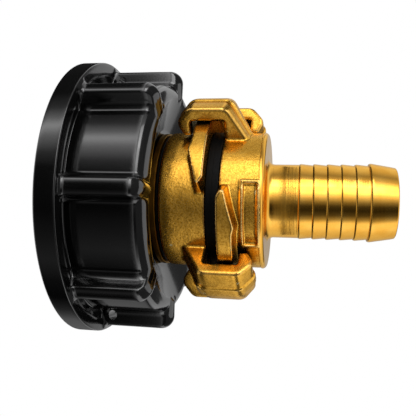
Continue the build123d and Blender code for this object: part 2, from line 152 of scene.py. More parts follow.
def forged_brass():
    material, tree, shader = finish_of("brass_forged_blasted", Metallic=1.0, Specular_Tint=linear(BRASS_GLANCE))
    where = add(tree, "ShaderNodeTexCoord").outputs["Object"]
    # Grit pits are drawn at up to 0.6 mm, coarser than real, to show, and the forging's waves at some 5 mm
    pits = add(tree, "ShaderNodeTexNoise", {"Vector": where, "Scale": 1 / (0.6 * MM), "Detail": 3.0,
                                            "Roughness": 0.6})
    waves = add(tree, "ShaderNodeTexNoise", {"Vector": where, "Scale": 1 / (5 * MM), "Detail": 2.0})
    shade = add(tree, "ShaderNodeValToRGB", {"Fac": pits.outputs["Fac"]})
    shade.color_ramp.elements[0].position = 0.32
    shade.color_ramp.elements[1].position = 0.58
    shade.color_ramp.elements[0].color = linear("#CB9330")
    shade.color_ramp.elements[1].color = linear("#E8AF45")
    # Painted shade: corners that ambient occlusion finds within 3 mm are darkened towards dark brown
    reach = add(tree, "ShaderNodeAmbientOcclusion", {"Distance": 3.0 * MM}, samples=8)
    unshaded_share = add(tree, "ShaderNodeMapRange", {"Value": reach.outputs["AO"], "From Min": 0.30, "From Max": 0.78})
    with_painted_shade = add(tree, "ShaderNodeMix", {SHARE: unshaded_share.outputs["Result"], FIRST: linear("#2E2110"),
                                       SECOND: shade.outputs["Color"]}, data_type="RGBA")
    # Edges rubbed by tumbling, with a painted highlight: convex edges are painted a pale shine
    edges = add(tree, "ShaderNodeNewGeometry").outputs["Pointiness"]
    edge_wear_and_highlight = add(tree, "ShaderNodeMapRange", {"Value": edges, "From Min": 0.515, "From Max": 0.57, "To Max": 0.85})
    pale = add(tree, "ShaderNodeMix", {SHARE: edge_wear_and_highlight.outputs["Result"], FIRST: with_painted_shade.outputs[MIXED],
                                       SECOND: linear("#FBE3A4")}, data_type="RGBA")
    # The claws and lugs, which stand out of the heads, lose most of the grit's pits
    across = add(tree, "ShaderNodeVectorMath", {0: where, 1: (0.0, 1.0, 1.0)}, operation="MULTIPLY")
    radius = add(tree, "ShaderNodeVectorMath", {0: across.outputs["Vector"]}, operation="LENGTH")
    pitted = add(tree, "ShaderNodeMapRange", {"Value": radius.outputs["Value"], "From Min": 20.0 * MM,
                                              "From Max": 22.0 * MM, "To Min": 0.6, "To Max": 0.25})
    rough = add(tree, "ShaderNodeMapRange", {"Value": pits.outputs["Fac"], "From Min": 0.3, "From Max": 0.7,
                                             "To Min": 0.32, "To Max": 0.20})
    broad = add(tree, "ShaderNodeBump", {"Height": waves.outputs["Fac"], "Strength": 0.5, "Distance": 0.25 * MM})
    fine = add(tree, "ShaderNodeBump", {"Height": pits.outputs["Fac"], "Strength": pitted.outputs["Result"],
                                        "Distance": 0.07 * MM, "Normal": broad.outputs["Normal"]})
    tree.links.new(pale.outputs[MIXED], shader.inputs["Base Color"])
    tree.links.new(rough.outputs["Result"], shader.inputs["Roughness"])
    tree.links.new(fine.outputs["Normal"], shader.inputs["Normal"])
    return material


forged = forged_brass()
print(forged.name, "has", len(forged.node_tree.nodes), "nodes")

# %% [markdown]
# ## Brass, turned
#
# From the shoulder on, the hose half was turned on a lathe, and so were the locking ring and the spigot. The
# tool leaves fine rings about the axis. A wave pattern along X would be too even, so noise that hardly changes
# across the axis draws rings of uneven depth, some 0.25 mm apart. The ring behind the heads sits in the nut's
# shade, and that shade is painted in: it gets the same finish in darker colours.

# %% Turned brass
def turned_brass(name, stained, clean, smooth, coarse):
    """Turned brass from its two colours and its least and most roughness."""
    material, tree, shader = finish_of(name, Metallic=1.0, Specular_Tint=linear(BRASS_GLANCE))
    where = add(tree, "ShaderNodeTexCoord").outputs["Object"]
    squeeze = add(tree, "ShaderNodeMapping", {"Vector": where, "Scale": (1.0, 0.015, 0.015)})
    rings = add(tree, "ShaderNodeTexNoise", {"Vector": squeeze.outputs["Vector"], "Scale": 1 / (0.25 * MM),
                                             "Detail": 3.0})
    stain = add(tree, "ShaderNodeTexNoise", {"Vector": where, "Scale": 1 / (4 * MM), "Detail": 3.0})
    shade = add(tree, "ShaderNodeValToRGB", {"Fac": stain.outputs["Fac"]})
    shade.color_ramp.elements[0].position = 0.35
    shade.color_ramp.elements[1].position = 0.65
    shade.color_ramp.elements[0].color = linear(stained)
    shade.color_ramp.elements[1].color = linear(clean)
    rough = add(tree, "ShaderNodeMapRange", {"Value": rings.outputs["Fac"], "To Min": smooth, "To Max": coarse})
    # The root of the neck, up to X = 58.7 mm, is polished: the rings nearly fade out there
    axes = add(tree, "ShaderNodeSeparateXYZ", {"Vector": where})
    cut = add(tree, "ShaderNodeMapRange", {"Value": axes.outputs["X"], "From Min": 58.7 * MM, "From Max": 59.0 * MM,
                                           "To Min": 0.12, "To Max": 0.6})
    bump = add(tree, "ShaderNodeBump", {"Height": rings.outputs["Fac"], "Strength": cut.outputs["Result"],
                                        "Distance": 0.03 * MM})
    tree.links.new(shade.outputs["Color"], shader.inputs["Base Color"])
    tree.links.new(rough.outputs["Result"], shader.inputs["Roughness"])
    tree.links.new(bump.outputs["Normal"], shader.inputs["Normal"])
    return material


turned = turned_brass("brass_turned_bright", "#DFA23C", "#E8B04C", 0.08, 0.20)
# Painted shade: a darker copy of the finish, for the ring that sits in the nut's shade
turned_painted_shade = turned_brass("brass_turned_painted_shade", "#6E4A16", "#8A5E1E", 0.28, 0.40)
print(turned.name, "and", turned_painted_shade.name, "have", len(turned.node_tree.nodes), "nodes each")

# %% [markdown]
# ## Nitrile rubber
#
# The seals are moulded nitrile rubber, black and nearly matt, with a dusty bloom and faint moulding lines that
# run round the ring.

# %% Nitrile rubber
def nitrile_rubber():
    material, tree, shader = finish_of("nitrile_rubber_moulded", IOR=1.52, Specular_IOR_Level=0.10)
    where = add(tree, "ShaderNodeTexCoord").outputs["Object"]
    squeeze = add(tree, "ShaderNodeMapping", {"Vector": where, "Scale": (1.0, 0.08, 0.08)})
    lines = add(tree, "ShaderNodeTexNoise", {"Vector": squeeze.outputs["Vector"], "Scale": 1 / (0.5 * MM),
                                             "Detail": 2.0})
    bloom = add(tree, "ShaderNodeTexNoise", {"Vector": where, "Scale": 1 / (2.5 * MM), "Detail": 4.0})
    shade = add(tree, "ShaderNodeValToRGB", {"Fac": bloom.outputs["Fac"]})
    shade.color_ramp.elements[0].color = linear("#030303")
    shade.color_ramp.elements[1].color = linear("#070707")
    rough = add(tree, "ShaderNodeMapRange", {"Value": bloom.outputs["Fac"], "To Min": 0.45, "To Max": 0.60})
    bump = add(tree, "ShaderNodeBump", {"Height": lines.outputs["Fac"], "Strength": 0.5, "Distance": 0.08 * MM})
    tree.links.new(shade.outputs["Color"], shader.inputs["Base Color"])
    tree.links.new(rough.outputs["Result"], shader.inputs["Roughness"])
    tree.links.new(bump.outputs["Normal"], shader.inputs["Normal"])
    return material


rubber = nitrile_rubber()
print(rubber.name, "has", len(rubber.node_tree.nodes), "nodes")

# %% [markdown]
# ## The solids' own finishes
#
# The hidden solids, the spigot and the gasket in the nut, are shown as they are. The others are replaced by
# dressed copies further on, and get their finish here too, so that no solid is left plain.

# %% Give the solids their finishes
finishes = {
    "union_nut": plastic, "spigot": turned_painted_shade, "lock_ring": turned_painted_shade, "tank_half": forged, "hose_half": forged,
    "tank_gasket": rubber, "neck_gasket": rubber, "tank_half_seal": rubber, "hose_half_seal": rubber,
}
for name, finish in finishes.items():
    solid = nodes[name]
    solid.data.materials.clear()
    solid.data.materials.append(finish)
print("finishes:", ", ".join(sorted({finish.name for finish in finishes.values()})))

# %% [markdown]
# ## Helpers for round things
#
# Nearly everything here lies about the X axis, so a point is given as x, radius and clock angle: 0 degrees is
# the side that faces the camera and 90 is the top. A profile of straight runs is drawn with its corners
# already rounded, because a moulded or turned edge is never sharp, and its rounding is what catches the light.

# %% Points, arcs and meshes about the axis
def about_axis(x, radius, degrees):
    """The place of a point given in millimetres and clock degrees."""
    angle = math.radians(degrees)
    return Vector((x, -radius * math.cos(angle), radius * math.sin(angle))) * MM


def run(start, end, count, last=False):
    """Evenly spaced points from start to end; the end itself belongs to the next run."""
    steps = count - 1 if last else count
    return [(start[0] + (end[0] - start[0]) * number / steps, start[1] + (end[1] - start[1]) * number / steps)
            for number in range(count)]


def arc(centre, radius, first, last, count):
    """Points of an arc in the plane of x and radius; degrees run from +x towards the larger radius."""
    angles = [math.radians(first + (last - first) * number / count) for number in range(count)]
    return [(centre[0] + radius * math.cos(angle), centre[1] + radius * math.sin(angle)) for angle in angles]


def new_piece(name, mesh, material, body, slot, *replaced, sharp=40):
    """Sets a mesh on its body with its finish, smooth but for edges sharper than an angle."""
    mesh.materials.clear()
    mesh.materials.append(material)
    mesh.shade_smooth()
    mesh.set_sharp_from_angle(angle=math.radians(sharp))
    piece = bpy.data.objects.new(name, mesh)
    scene.collection.objects.link(piece)
    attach(piece, body)
    if replaced:
        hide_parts(*replaced)
    print(name, "has", sum(len(face.vertices) - 2 for face in mesh.polygons), "triangles")
    return piece


def evaluated(source, name):
    """The mesh that an object's modifiers give, as a plain mesh of its own; the object is then removed."""
    shown = source.evaluated_get(bpy.context.evaluated_depsgraph_get())
    mesh = bpy.data.meshes.new_from_object(shown)
    mesh.name = name
    bpy.data.objects.remove(source)
    return mesh


def tidy(mesh, reach=0.002 * MM):
    """Merges doubled points and turns every face outwards."""
    work = bmesh.new()
    work.from_mesh(mesh)
    bmesh.ops.remove_doubles(work, verts=work.verts, dist=reach)
    bmesh.ops.recalc_face_normals(work, faces=work.faces)
    work.to_mesh(mesh)
    work.free()


print("40 mm out at 90 degrees lies at z = %.3f m" % about_axis(0, 40, 90).z)

# %% [markdown]
# ## The nut's skin
#
# The solid nut has plain ribs. The moulded one has ribs that grow out of the body with a root round and end in
# a dome. It could be sculpted, or rounded with a Bevel modifier, but bevels fail where many small faces meet.
# Instead two outlines are drawn with the same number of points: one between the ribs and one along a rib's
# crest. Each column of points across the nut blends from one to the other, so roots, flanks and domes come
# out smooth. One eighth is made, and Geometry Nodes turns it round the axis.

# %% Two outlines of the nut with matching points, in millimetres
RIB_COUNT, RIB_HEIGHT, RIB_HALF_WIDTH = 8, 5.0, 2.6
BODY_RADIUS, FLANGE_RADIUS, THREAD_RADIUS, NECK_HOLE_RADIUS = 33.6, 40.0, 30.2, 17.0
RIB_RADIUS = BODY_RADIUS + RIB_HEIGHT
# The flange's front face, the end of the thread, and the two faces of the front wall, along the axis
FLANGE_X, THREAD_END_X, WALL_BACK_X, WALL_FRONT_X = 5.8, 12.2, 18.6, 22.6
SIDE_POINTS, BEAD_POINTS = 16, 12

mouth = run((0, THREAD_RADIUS), (0, 39.5), 5) + arc((0.5, 39.5), 0.5, 180, 90, 5)
mouth += run((0.5, FLANGE_RADIUS), (5.5, FLANGE_RADIUS), 5)
lip = arc((5.5, 39.7), 0.3, 90, 0, 5) + run((FLANGE_X, 39.7), (FLANGE_X, 36.5), 4)
lip += run((FLANGE_X, 36.5), (5.65, 36.25), 2) + run((5.65, 36.25), (4.9, 35.9), 3)
lip += run((4.9, 35.9), (4.9, 34.1), 3) + arc((5.4, 34.1), 0.5, 180, 270, 4)
lip_at_rib = arc((5.4, 39.6), 0.4, 90, 20, 5) + run((5.78, 39.74), (6.1, 39.05), 4)
lip_at_rib += run((6.1, 39.05), (6.6, 38.7), 4) + run((6.6, 38.7), (7.4, RIB_RADIUS), 8)
side = run((5.4, BODY_RADIUS), (22.9, BODY_RADIUS), SIDE_POINTS) + arc((22.9, 30.2), 3.4, 90, 0, BEAD_POINTS)
side_at_rib = run((7.4, RIB_RADIUS), (23.1, RIB_RADIUS), SIDE_POINTS) + arc((23.1, 34.9), 3.7, 90, 0, BEAD_POINTS)
front = run((26.3, 30.2), (26.25, 29.75), 3) + run((26.25, 29.75), (25.9, 29.0), 3)
front_at_rib = run((26.8, 34.9), (26.75, 30.4), 3) + run((26.75, 30.4), (25.95, 29.1), 3)
dish = run((25.9, 29.0), (22.8, 20.9), 10) + run((22.8, 20.9), (WALL_FRONT_X, 20.3), 2)
dish += run((WALL_FRONT_X, 20.3), (WALL_FRONT_X, NECK_HOLE_RADIUS), 3)
inside = run((WALL_FRONT_X, NECK_HOLE_RADIUS), (WALL_BACK_X, NECK_HOLE_RADIUS), 3)
inside += run((WALL_BACK_X, NECK_HOLE_RADIUS), (WALL_BACK_X, 27.0), 4) + run((WALL_BACK_X, 27.0), (13.0, 27.0), 3)
inside += run((13.0, 27.0), (THREAD_END_X, 27.8), 1) + run((THREAD_END_X, 27.8), (THREAD_END_X, THREAD_RADIUS), 2)
inside += run((THREAD_END_X, THREAD_RADIUS), (0, THREAD_RADIUS), 6)
# How far each row of the outline takes part in rounding the rib's end, from none to all
rounding = [0.0] * (len(mouth) + len(lip) + SIDE_POINTS)
rounding += [math.sin(math.pi / 2 * number / BEAD_POINTS) for number in range(BEAD_POINTS)]
rounding += [1, 1, 1, 0.8, 0.5, 0.2] + [0.0] * (len(dish) + len(inside))
between_ribs = mouth + lip + side + front + dish + inside
along_rib = mouth + lip_at_rib + side_at_rib + front_at_rib + dish + inside
print("outline points:", len(between_ribs), "and", len(along_rib))

# %% One rib and its share of the nut
CREST_HALF_WIDTH, CREST_ROUND, CREST_STEP = 2.35, 1.0, 10
ROOT_HEIGHT, ROOT_ROUND = 2.0, 2.2
END_ROUND = 2.9
PLAIN_COLUMNS = 10


def rib_columns():
    """Millimetres across, clock offset and share of the rib's height, from the rib's middle outwards."""
    flank_top = RIB_HEIGHT - CREST_ROUND
    turns = [math.radians(turn) for turn in range(0, 90, CREST_STEP)]
    across = [(CREST_HALF_WIDTH * math.sin(turn), flank_top + CREST_ROUND * math.cos(turn)) for turn in turns]
    across += run((CREST_HALF_WIDTH, flank_top), (RIB_HALF_WIDTH, ROOT_HEIGHT), 3)
    across += arc((RIB_HALF_WIDTH + ROOT_ROUND, ROOT_HEIGHT), ROOT_ROUND, 180, 265, 9)
    columns = [(t, math.degrees(math.asin(t / (BODY_RADIUS + max(h, 0)))), max(h, 0) / RIB_HEIGHT) for t, h in across]
    edge = columns[-1][1] + 0.6
    plain = (180 / RIB_COUNT - edge) / (PLAIN_COLUMNS - 1)
    return columns + [(RIB_HALF_WIDTH, edge + plain * number, 0.0) for number in range(PLAIN_COLUMNS)]


def nut_eighth():
    """The mesh of one rib and its share of the nut."""
    right = rib_columns()
    columns = [(t, -angle, share) for t, angle, share in reversed(right[1:])] + right
    points = []
    for t, angle, share in columns:
        t = min(t, RIB_HALF_WIDTH)
        back = END_ROUND - math.sqrt(END_ROUND ** 2 - t ** 2)
        for (x, radius), (rib_x, rib_radius), part in zip(between_ribs, along_rib, rounding):
            x_there = x + (rib_x - back * part - x) * share
            points.append(about_axis(x_there, radius + (rib_radius - radius) * share, angle))
    count = len(between_ribs)
    faces = []
    for column in range(len(columns) - 1):
        for row in range(count):
            here, after = column * count + row, column * count + (row + 1) % count
            faces.append((here, after, after + count, here + count))
    mesh = bpy.data.meshes.new("nut_eighth")
    mesh.from_pydata(points, [], faces)
    return mesh


print("columns of points from a rib's middle to halfway to the next:", len(rib_columns()))

# %% A tree that turns the eighth round the axis
def ring_tree(material):
    """A node tree that sets copies of its geometry round the X axis, joined into one skin."""
    tree = bpy.data.node_groups.new("copies_round_the_axis", "GeometryNodeTree")
    tree.interface.new_socket("Geometry", in_out="INPUT", socket_type="NodeSocketGeometry")
    tree.interface.new_socket("Geometry", in_out="OUTPUT", socket_type="NodeSocketGeometry")
    count = tree.interface.new_socket("Copies", in_out="INPUT", socket_type="NodeSocketInt")
    weld = tree.interface.new_socket("Weld distance", in_out="INPUT", socket_type="NodeSocketFloat")
    given = add(tree, "NodeGroupInput").outputs
    spots = add(tree, "GeometryNodeMeshLine", {"Count": given["Copies"], "Offset": (0, 0, 0)})
    step = add(tree, "ShaderNodeMath", {0: 2 * math.pi, 1: given["Copies"]}, operation="DIVIDE")
    number = add(tree, "GeometryNodeInputIndex")
    turn = add(tree, "ShaderNodeMath", {0: number.outputs["Index"], 1: step.outputs[0]}, operation="MULTIPLY")
    about_x = add(tree, "ShaderNodeCombineXYZ", {"X": turn.outputs[0]})
    copies = add(tree, "GeometryNodeInstanceOnPoints", {
        "Points": spots.outputs["Mesh"], "Instance": given["Geometry"], "Rotation": about_x.outputs["Vector"]})
    real = add(tree, "GeometryNodeRealizeInstances", {"Geometry": copies.outputs["Instances"]})
    joined = add(tree, "GeometryNodeMergeByDistance", {
        "Geometry": real.outputs["Geometry"], "Distance": given["Weld distance"]})
    coat = add(tree, "GeometryNodeSetMaterial", {"Geometry": joined.outputs["Geometry"], "Material": material})
    add(tree, "NodeGroupOutput", {"Geometry": coat.outputs["Geometry"]})
    return tree, {"copies": count.identifier, "weld": weld.identifier}


# %% The nut with its sealing-wire holes
# The ribs at the top and at the bottom, and a hole's place, half sizes and number of sides
DRILLED_RIBS = (2, 6)
HOLE_X, HOLE_RADIUS = 8.65, 35.2
HOLE_HALF_LENGTH, HOLE_HALF_HEIGHT, ROD_REACH = 1.25, 1.5, 4
HOLE_SIDES = 20
WELD = 0.004 * MM


def wire_hole_cutters():
    """Two short rods of oval section, one through the top rib and one through the bottom rib."""
    points, faces = [], []
    for rib in DRILLED_RIBS:
        turn = Matrix.Rotation(-2 * math.pi * rib / RIB_COUNT, 3, "X")
        start = len(points)
        after = start + HOLE_SIDES
        for depth in (-ROD_REACH, ROD_REACH):
            for number in range(HOLE_SIDES):
                angle = 2 * math.pi * number / HOLE_SIDES
                spot = Vector((HOLE_X + HOLE_HALF_LENGTH * math.cos(angle),
                               -HOLE_RADIUS - HOLE_HALF_HEIGHT * math.sin(angle), depth)) * MM
                points.append(turn @ spot)
        for number in range(HOLE_SIDES):
            beside = (number + 1) % HOLE_SIDES
            faces.append((start + number, start + beside, after + beside, after + number))
        faces += [tuple(range(start, after)), tuple(range(after, after + HOLE_SIDES))]
    mesh = bpy.data.meshes.new("wire_holes")
    mesh.from_pydata(points, [], faces)
    tidy(mesh, 0)
    return mesh


def nut_skin():
    """The nut's whole skin, with its sealing-wire holes cut."""
    maker = bpy.data.objects.new("nut_maker", nut_eighth())
    cutter = bpy.data.objects.new("wire_holes", wire_hole_cutters())
    for helper in (maker, cutter):
        scene.collection.objects.link(helper)
    tree, inputs = ring_tree(plastic)
    ring = maker.modifiers.new("ring", "NODES")
    ring.node_group = tree
    ring[inputs["copies"]] = RIB_COUNT
    ring[inputs["weld"]] = WELD
    mesh = evaluated(maker, "nut_whole")
    tidy(mesh, WELD)
    whole = bpy.data.objects.new("nut_drilled", mesh)
    scene.collection.objects.link(whole)
    drill = whole.modifiers.new("wire holes", "BOOLEAN")
    drill.operation = "DIFFERENCE"
    drill.solver = "EXACT"
    drill.object = cutter
    drilled = evaluated(whole, "nut_skin")
    bpy.data.objects.remove(cutter)
    return drilled


new_piece("nut_skin", nut_skin(), plastic, "nut", "black_plastic", "union_nut", sharp=32)

# %% [markdown]
# ## The tank thread, with Geometry Nodes
#
# The nut turns on the tank's outlet by a coarse thread of 6 mm pitch. A thread could be modelled face by face,
# but it follows a rule: one cross-section swept along a helix. A Spiral curve gives the helix, and Curve to
# Mesh sweeps a small tapered outline along it. With radius, height, pitch and turns as named inputs, the same
# tree cuts another thread by changing four numbers.

# %% The thread's tree
# The ridge's widths at the wall and at its crest, as shares of the pitch
FOOT_SHARE, CREST_SHARE = 0.60, 0.22


def thread_tree(material):
    """A node tree that sweeps the thread's outline along a helix about Z."""
    tree = bpy.data.node_groups.new("nut_thread_sweep", "GeometryNodeTree")
    tree.interface.new_socket("Geometry", in_out="INPUT", socket_type="NodeSocketGeometry")
    tree.interface.new_socket("Geometry", in_out="OUTPUT", socket_type="NodeSocketGeometry")
    sockets = {}
    for name in ("Middle radius", "Ridge height", "Pitch", "Turns"):
        sockets[name] = tree.interface.new_socket(name, in_out="INPUT", socket_type="NodeSocketFloat").identifier
    given = add(tree, "NodeGroupInput").outputs
    rise = add(tree, "ShaderNodeMath", {0: given["Pitch"], 1: given["Turns"]}, operation="MULTIPLY")
    helix = add(tree, "GeometryNodeCurveSpiral", {
        "Resolution": 96, "Rotations": given["Turns"], "Start Radius": given["Middle radius"],
        "End Radius": given["Middle radius"], "Height": rise.outputs[0], "Reverse": True})
    level = add(tree, "GeometryNodeSetCurveNormal", {"Curve": helix.outputs["Curve"]}, mode="Z_UP")
    # The outline is a trapezoid, wide where it meets the wall and narrow at its crest
    foot = add(tree, "ShaderNodeMath", {0: given["Pitch"], 1: FOOT_SHARE}, operation="MULTIPLY")
    crest = add(tree, "ShaderNodeMath", {0: given["Pitch"], 1: CREST_SHARE}, operation="MULTIPLY")
    outline = add(tree, "GeometryNodeCurvePrimitiveQuadrilateral", {
        "Height": given["Ridge height"], "Bottom Width": foot.outputs[0], "Top Width": crest.outputs[0],
        "Offset": 0.0}, mode="TRAPEZOID")
    inward = add(tree, "GeometryNodeTransform", {
        "Geometry": outline.outputs["Curve"], "Rotation": (0, 0, math.radians(90))})
    sweep = add(tree, "GeometryNodeCurveToMesh", {
        "Curve": level.outputs["Curve"], "Profile Curve": inward.outputs["Geometry"], "Fill Caps": True})
    real = add(tree, "GeometryNodeRealizeInstances", {"Geometry": sweep.outputs["Mesh"]})
    coat = add(tree, "GeometryNodeSetMaterial", {"Geometry": real.outputs["Geometry"], "Material": material})
    add(tree, "NodeGroupOutput", {"Geometry": coat.outputs["Geometry"]})
    return tree, sockets


# %% The ridge, in millimetres, and its turns
MIDDLE_RADIUS, RIDGE_HEIGHT, PITCH_OF_THREAD, THREAD_TURNS = 29.2, 2.4, 6.0, 1.3
RIDGE_START_X = 2.2


def thread_ridge():
    """The ridge of the nut's thread, turned from Z to lie about X."""
    maker = bpy.data.objects.new("thread_maker", bpy.data.meshes.new("thread_start"))
    scene.collection.objects.link(maker)
    tree, sockets = thread_tree(plastic)
    sweep = maker.modifiers.new("thread", "NODES")
    sweep.node_group = tree
    sizes = {"Middle radius": MIDDLE_RADIUS * MM, "Ridge height": RIDGE_HEIGHT * MM,
             "Pitch": PITCH_OF_THREAD * MM, "Turns": THREAD_TURNS}
    for name, value in sizes.items():
        sweep[sockets[name]] = value
    mesh = evaluated(maker, "nut_thread_ridge")
    mesh.transform(Matrix.Translation((RIDGE_START_X * MM, 0, 0)) @ Matrix.Rotation(math.radians(90), 4, "Y"))
    tidy(mesh)
    reach = [math.hypot(vertex.co.y, vertex.co.z) / MM for vertex in mesh.vertices]
    along = [vertex.co.x / MM for vertex in mesh.vertices]
    print("thread ridge: radius %.2f to %.2f mm, along the axis %.2f to %.2f mm"
          % (min(reach), max(reach), min(along), max(along)))
    return mesh


new_piece("nut_thread_ridge", thread_ridge(), plastic, "nut", "black_plastic", sharp=30)

# %% [markdown]
# ## Forged heads
#
# A forging has no sharp edge: the metal is pressed into a die and every edge comes out round. The exact solid
# has plain corners between hooks, lugs and head, too many for bevels to meet cleanly. A voxel remesh of a copy
# turns it into one even skin, and a few rounds of smoothing melt the edges to about half a millimetre, inside
# and out, as the die does. The solid stays in the frame for collision, and the skin stands for it.

# %% Melt a copy of a solid into a forging
VOXEL = 0.30 * MM
SMOOTH_FACTOR, SMOOTH_ROUNDS = 0.5, 5
# How deep, in millimetres, the rounds of a head's rear face are: they move with it
REAR_DEPTH = 1.0


def forging(node, name, cut_at=None, back_face=None):
    """A softened copy of a solid. At cut_at it ends in a flat cap, and back_face moves its rear face, both in mm."""
    mesh = nodes[node].data.copy()
    work = bmesh.new()
    work.from_mesh(mesh)
    bmesh.ops.remove_doubles(work, verts=work.verts, dist=0.001 * MM)
    if cut_at is not None:
        everything = work.verts[:] + work.edges[:] + work.faces[:]
        cut = bmesh.ops.bisect_plane(work, geom=everything, plane_co=(cut_at * MM, 0, 0), plane_no=(1, 0, 0),
                                     clear_outer=True)
        rim = [edge for edge in cut["geom_cut"] if isinstance(edge, bmesh.types.BMEdge)]
        bmesh.ops.triangle_fill(work, edges=rim, use_beauty=True)
    if back_face is not None:
        rear = min(vertex.co.x for vertex in work.verts)
        for vertex in work.verts:
            if vertex.co.x < rear + REAR_DEPTH * MM:
                vertex.co.x += back_face * MM - rear
    work.to_mesh(mesh)
    work.free()
    maker = bpy.data.objects.new("forging_maker", mesh)
    scene.collection.objects.link(maker)
    remesh = maker.modifiers.new("even skin", "REMESH")
    remesh.mode = "VOXEL"
    remesh.voxel_size = VOXEL
    soften = maker.modifiers.new("melt", "SMOOTH")
    soften.factor = SMOOTH_FACTOR
    soften.iterations = SMOOTH_ROUNDS
    return evaluated(maker, name)


# The tank half's rear face moves back to meet the thin gasket, and the hose half is cut inside its shoulder
new_piece("tank_half_forging", forging("tank_half", "tank_half_forging", back_face=25.35), forged,
          "tank_side", "cast_brass", "tank_half", sharp=180)
new_piece("hose_half_forging", forging("hose_half", "hose_half_forging", cut_at=52.9), forged,
          "hose_side", "cast_brass", "hose_half", sharp=180)

# %% [markdown]
# ## The turned end
#
# From the shoulder on, the hose half is turned: one outline spun about the axis. A Screw modifier could spin
# it; a few lines of mesh code do the same and leave no seam. The barbs are the lesson here. Each has a steep
# little face towards the neck and a long slope towards the end, and the edge between them is broken by a tenth
# of a millimetre or two. That sliver is what catches the light as a thin ring.

# %% Spin the turned end, sizes in millimetres
FIRST_BARB, BARB_PITCH, BARB_COUNT = 62.45, 3.83, 5
NECK_RADIUS, BARB_RADIUS, VALLEY_RADIUS, END_BARB_RADIUS = 10.6, 10.8, 10.45, 11.1
SHOULDER_START, SHOULDER_END, SHOULDER_RADIUS, SHOULDER_ROUND = 52.3, 53.65, 19.7, 1.1
NECK_FILLET = 1.8
TAIL_END, TAIL_RADIUS, BORE_RADIUS, SOCKET_RADIUS = 89.0, 10.03, 8.4, 9.51
TAIL_COLUMNS, RING_COLUMNS = 192, 128
# The broken edges of a barb and of the end barb: each point's steps along from its start and down from its top
BARB_EDGE = ((-0.02, -0.16), (0.05, -0.12), (0.26, -0.02), (0.36, 0.0))
END_EDGE = ((-0.02, -0.18), (0.05, -0.13), (0.28, -0.02), (0.40, 0.0))


def tail_outline():
    """Closed outline of shoulder, neck, barbs, end and bore."""
    start, top, flat = SHOULDER_START, SHOULDER_RADIUS, SHOULDER_END - SHOULDER_ROUND
    points = run((start, SOCKET_RADIUS), (start, top - 0.25), 6) + arc((start + 0.2, top - 0.2), 0.2, 180, 90, 4)
    points += run((start + 0.2, top), (flat, top), 2) + arc((flat, top - SHOULDER_ROUND), SHOULDER_ROUND, 90, 0, 12)
    neck_x, fillet_top = SHOULDER_END + NECK_FILLET, NECK_RADIUS + NECK_FILLET
    points += run((SHOULDER_END, top - SHOULDER_ROUND), (SHOULDER_END, fillet_top), 6)
    points += arc((neck_x, fillet_top), NECK_FILLET, 180, 270, 14)
    points += run((neck_x, NECK_RADIUS), (FIRST_BARB - 0.12, NECK_RADIUS), 10)
    foot = NECK_RADIUS
    for number in range(BARB_COUNT):
        x = FIRST_BARB + number * BARB_PITCH
        points += [(x - 0.06, foot)] + [(x + along, BARB_RADIUS + down) for along, down in BARB_EDGE]
        points += run((x + 0.7, BARB_RADIUS - 0.02), (x + BARB_PITCH - 0.35, VALLEY_RADIUS + 0.02), 5, last=True)
        foot = VALLEY_RADIUS
    x = FIRST_BARB + BARB_COUNT * BARB_PITCH
    points += [(x - 0.06, foot)] + [(x + along, END_BARB_RADIUS + down) for along, down in END_EDGE]
    end = TAIL_END - 0.5
    points += run((x + 0.70, END_BARB_RADIUS), (end, TAIL_RADIUS), 8) + arc((end, 9.5), 0.5, 90, 0, 6)
    points += run((TAIL_END, 9.5), (TAIL_END, BORE_RADIUS + 0.5), 2)
    points += run((TAIL_END, BORE_RADIUS + 0.5), (end, BORE_RADIUS), 2)
    points += run((end, BORE_RADIUS), (54.9, BORE_RADIUS), 12) + run((54.9, BORE_RADIUS), (start, SOCKET_RADIUS), 3)
    return points


def spun(outline, name, columns):
    """The closed skin of an outline spun about the axis."""
    count = len(outline)
    points = [about_axis(x, radius, 360 * column / columns) for column in range(columns) for x, radius in outline]
    faces = []
    for column in range(columns):
        start, after = column * count, (column + 1) % columns * count
        for row in range(count):
            beside = (row + 1) % count
            faces.append((start + row, start + beside, after + beside, after + row))
    mesh = bpy.data.meshes.new(name)
    mesh.from_pydata(points, [], faces)
    tidy(mesh)
    return mesh


new_piece("hose_tail_turned", spun(tail_outline(), "hose_tail_turned", TAIL_COLUMNS), turned,
          "hose_side", "turned_brass", "hose_half", sharp=28)

# %% [markdown]
# ## The rings behind the heads
#
# A brass ring locks the coupling on its thread, and a thin rubber gasket seals it. Both are seen from the side
# alone, as two thin bands, so their outlines are short: a flat face, a rounded rim and a flat face again.

# %% The locking ring and the thin gasket, sizes in millimetres
BORE = 16.7
RING_BACK, RING_FRONT, RING_RADIUS, BACK_ROUND, FRONT_ROUND = 22.9, 24.55, 19.3, 0.3, 0.2
GASKET_BACK, GASKET_FRONT, GASKET_SIDE, GASKET_ROUND = 24.57, 25.33, 18.35, 0.36

